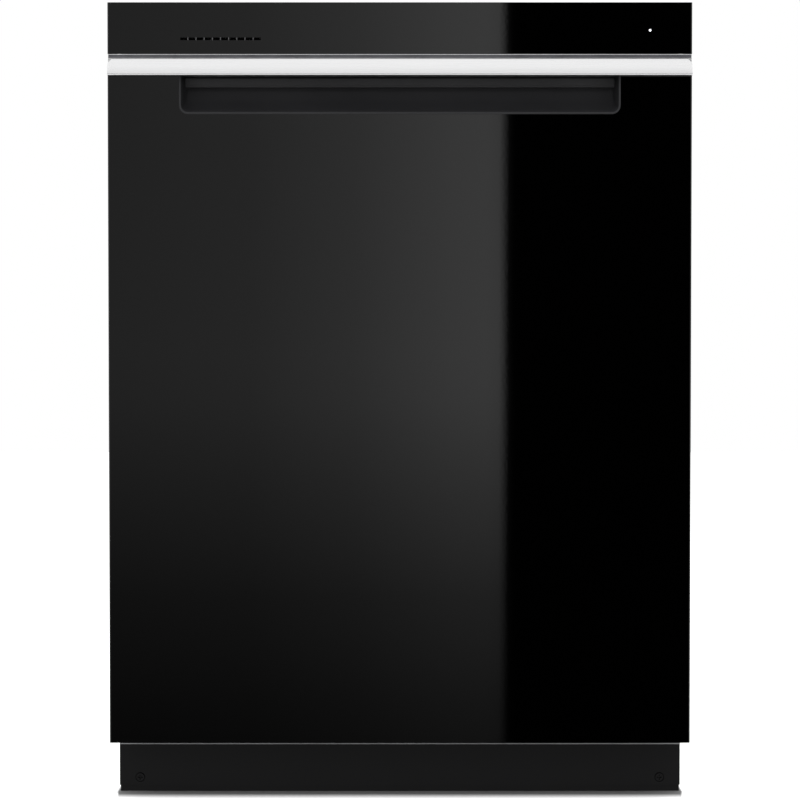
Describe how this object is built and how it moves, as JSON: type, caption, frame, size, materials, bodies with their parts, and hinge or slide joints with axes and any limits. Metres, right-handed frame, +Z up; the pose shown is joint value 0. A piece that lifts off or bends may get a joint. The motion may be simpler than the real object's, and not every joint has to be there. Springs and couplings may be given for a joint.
{
  "type": "built-in dishwasher",
  "caption": "Built-in dishwasher with a gloss black drop-down door, satin steel trim over a finger pocket, top controls, sliding racks, spray arms and levelling feet.",
  "frame": {"origin": "on the floor under the middle of the machine's box, with the feet wound in and the door closed", "axes": "+X to the viewer's right, +Y into the kitchen cabinet, +Z up; the door faces -Y"},
  "size_m": [0.606, 0.622, 0.84],
  "materials": {
    "gloss_black": "gloss enamel on sheet steel",
    "trim_steel": "satin stainless, fine horizontal grain",
    "pocket_black": "satin moulded black",
    "key_black": "satin black keys",
    "lamp": "clear light pipe",
    "kick_black": "low-gloss black powder coat",
    "zinc": "zinc plated steel",
    "spring_steel": "oiled spring steel",
    "frame_steel": "galvanised sheet",
    "tub_steel": "mill-finish stainless sheet",
    "liner_steel": "satin stainless sheet",
    "seal_rubber": "soft dark rubber",
    "felt": "needled felt sound blanket",
    "pan_plastic": "moulded dark grey",
    "filter_plastic": "moulded mid grey",
    "arm_plastic": "moulded light grey",
    "heater_steel": "heat-tinted sheath",
    "pump_plastic": "moulded black, ribbed motor",
    "valve_plastic": "natural moulded plastic",
    "braided_hose": "braided hose",
    "rack_vinyl": "nylon coated wire",
    "rack_plastic": "moulded grey",
    "rail_steel": "stainless channel",
    "dispenser_plastic": "moulded grey"
  },
  "bodies": {
    "cabinet": {"tub": "tub_steel", "tub_seal": "seal_rubber", "sound_blanket": "felt", "counter_brackets": "zinc", "base_frame": "frame_steel", "base_pan": "pan_plastic", "access_panel": "kick_black", "toe_panel": "kick_black", "toe_panel_screws": "kick_black", "sump": "pan_plastic", "filter_plate": "filter_plastic", "heating_element": "heater_steel", "wash_pump": "pump_plastic", "drain_pump": "pan_plastic", "feed_tube": "pan_plastic", "top_spray_nozzle": "arm_plastic", "inlet_valve": "valve_plastic", "fill_hose": "braided_hose", "drain_hose": "seal_rubber", "junction_box": "zinc", "rack_guides": "rail_steel", "latch_strike": "liner_steel", "door_springs": "spring_steel", "spring_cables": "spring_steel"},
    "door": {"door_panel": "gloss_black", "console": "gloss_black", "handle_trim": "trim_steel", "handle_pocket": "pocket_black", "door_liner": "liner_steel", "liner_screws": "zinc", "hinge_arms": "zinc", "dispenser": "dispenser_plastic", "control_strip": "gloss_black", "vent_duct": "pocket_black", "indicator_lens": "lamp"},
    "foot_front_left": {"foot_front_left": "frame_steel"},
    "foot_front_right": {"foot_front_right": "frame_steel"},
    "foot_rear_left": {"foot_rear_left": "frame_steel"},
    "foot_rear_right": {"foot_rear_right": "frame_steel"},
    "filter_cup": {"filter_cup": "filter_plastic"},
    "float": {"float": "filter_plastic"},
    "lower_spray_arm": {"lower_spray_arm": "arm_plastic"},
    "spring_hooks": {"spring_hooks": "zinc"},
    "lower_wheels_front": {"lower_wheels_front": "rack_plastic"},
    "lower_wheels_rear": {"lower_wheels_rear": "rack_plastic"},
    "folding_tines": {"folding_tines": "rack_vinyl"},
    "cutlery_basket": {"cutlery_basket": "rack_plastic"},
    "upper_rails": {"upper_rails": "rail_steel"},
    "rail_rollers": {"rail_rollers": "rack_plastic"},
    "cup_shelf": {"cup_shelf": "rack_vinyl"},
    "middle_spray_arm": {"middle_spray_arm": "arm_plastic"},
    "third_rack": {"third_rack": "rack_vinyl"},
    "latch_hook": {"latch_hook": "valve_plastic"},
    "key_power": {"key_power": "key_black"},
    "key_cycle": {"key_cycle": "key_black"},
    "key_start": {"key_start": "key_black"},
    "detergent_lid": {"detergent_lid": "dispenser_plastic"},
    "rinse_cap": {"rinse_cap": "dispenser_plastic"},
    "lower_rack": {"lower_rack": "rack_vinyl"},
    "upper_rack": {"upper_rack": "rack_vinyl"}
  },
  "joints": [
    {"name": "door_hinge", "type": "hinge", "parent": "cabinet", "child": "door", "pos_m": [0, -0.276, 0.104], "axis": [1, 0, 0], "range_deg": [0, 90], "stiffness_Nm_per_rad": 22},
    {"name": "spring_hook_slide", "type": "slide", "parent": "cabinet", "child": "spring_hooks", "axis": [0, -1, 0], "range_m": [0, 0.0355], "deforming": ["door_springs", "spring_cables"]},
    {"name": "lower_rack_slide", "type": "slide", "parent": "cabinet", "child": "lower_rack", "axis": [0, -1, 0], "range_m": [0, 0.147]},
    {"name": "front_wheels_roll", "type": "hinge", "parent": "lower_rack", "child": "lower_wheels_front", "pos_m": [0, -0.1, 0.1698], "axis": [1, 0, 0], "range_deg": [0, 480]},
    {"name": "rear_wheels_roll", "type": "hinge", "parent": "lower_rack", "child": "lower_wheels_rear", "pos_m": [0, 0.19, 0.1698], "axis": [1, 0, 0], "range_deg": [0, 480]},
    {"name": "tines_fold", "type": "hinge", "parent": "lower_rack", "child": "folding_tines", "pos_m": [0.1, 0, 0.1985], "axis": [0, 1, 0], "range_deg": [0, 88]},
    {"name": "basket_lift", "type": "slide", "parent": "lower_rack", "child": "cutlery_basket", "axis": [0, 0, 1], "range_m": [0, 0.07]},
    {"name": "upper_rails_slide", "type": "slide", "parent": "cabinet", "child": "upper_rails", "axis": [0, -1, 0], "range_m": [0, 0.212]},
    {"name": "upper_rack_slide", "type": "slide", "parent": "upper_rails", "child": "upper_rack", "axis": [0, -1, 0], "range_m": [0, 0.212]},
    {"name": "rail_rollers_roll", "type": "hinge", "parent": "cabinet", "child": "rail_rollers", "pos_m": [0, -0.19, 0.5407], "axis": [1, 0, 0], "range_deg": [0, 1360]},
    {"name": "cup_shelf_fold", "type": "hinge", "parent": "upper_rack", "child": "cup_shelf", "pos_m": [-0.235, 0, 0.53], "axis": [0, 1, 0], "range_deg": [0, 90]},
    {"name": "middle_arm_spin", "type": "hinge", "parent": "upper_rack", "child": "middle_spray_arm", "pos_m": [0, 0.028, 0.4515], "axis": [0, 0, 1], "continuous": true},
    {"name": "third_rack_slide", "type": "slide", "parent": "cabinet", "child": "third_rack", "axis": [0, -1, 0], "range_m": [0, 0.385]},
    {"name": "lower_arm_spin", "type": "hinge", "parent": "cabinet", "child": "lower_spray_arm", "pos_m": [0, 0.028, 0.173], "axis": [0, 0, 1], "continuous": true},
    {"name": "filter_twist", "type": "hinge", "parent": "cabinet", "child": "filter_cup", "pos_m": [0, -0.046, 0.1419], "axis": [0, 0, 1], "range_deg": [0, 60]},
    {"name": "float_rise", "type": "slide", "parent": "cabinet", "child": "float", "axis": [0, 0, 1], "range_m": [0, 0.008]},
    {"name": "latch_release", "type": "hinge", "parent": "door", "child": "latch_hook", "pos_m": [0, -0.292, 0.806], "axis": [-1, 0, 0], "range_deg": [0, 14], "stiffness_Nm_per_rad": 0.1, "springref_deg": -17.19},
    {"name": "detergent_lid_slide", "type": "slide", "parent": "door", "child": "detergent_lid", "axis": [0, 0, -1], "range_m": [0, 0.06]},
    {"name": "rinse_cap_turn", "type": "hinge", "parent": "door", "child": "rinse_cap", "pos_m": [0.045, -0.226, 0.515], "axis": [0, -1, 0], "range_deg": [0, 90]},
    {"name": "power_press", "type": "slide", "parent": "door", "child": "key_power", "axis": [0, 0, -1], "range_m": [0, 0.0008], "stiffness_N_per_m": 600, "springref_m": -0.001},
    {"name": "cycle_press", "type": "slide", "parent": "door", "child": "key_cycle", "axis": [0, 0, -1], "range_m": [0, 0.0008], "stiffness_N_per_m": 600, "springref_m": -0.001},
    {"name": "start_press", "type": "slide", "parent": "door", "child": "key_start", "axis": [0, 0, -1], "range_m": [0, 0.0008], "stiffness_N_per_m": 600, "springref_m": -0.001},
    {"name": "foot_front_left_screw", "type": "slide", "parent": "cabinet", "child": "foot_front_left", "axis": [0, 0, -1], "range_m": [0, 0.025]},
    {"name": "foot_front_right_screw", "type": "slide", "parent": "cabinet", "child": "foot_front_right", "axis": [0, 0, -1], "range_m": [0, 0.025]},
    {"name": "foot_rear_left_screw", "type": "slide", "parent": "cabinet", "child": "foot_rear_left", "axis": [0, 0, -1], "range_m": [0, 0.025]},
    {"name": "foot_rear_right_screw", "type": "slide", "parent": "cabinet", "child": "foot_rear_right", "axis": [0, 0, -1], "range_m": [0, 0.025]}
  ],
  "couplings": [
    {"joint": "spring_hook_slide", "follows": "door_hinge", "m_per_rad": 0.022},
    {"joint": "lower_rack_slide", "follows": "door_hinge", "m_per_rad": 0.09231},
    {"joint": "front_wheels_roll", "follows": "door_hinge", "ratio": 5.2748},
    {"joint": "rear_wheels_roll", "follows": "door_hinge", "ratio": 5.2748},
    {"joint": "upper_rails_slide", "follows": "door_hinge", "m_per_rad": 0.13369},
    {"joint": "upper_rack_slide", "follows": "door_hinge", "m_per_rad": 0.13369},
    {"joint": "rail_rollers_roll", "follows": "door_hinge", "ratio": 14.854},
    {"joint": "third_rack_slide", "follows": "door_hinge", "m_per_rad": 0.24192}
  ]
}
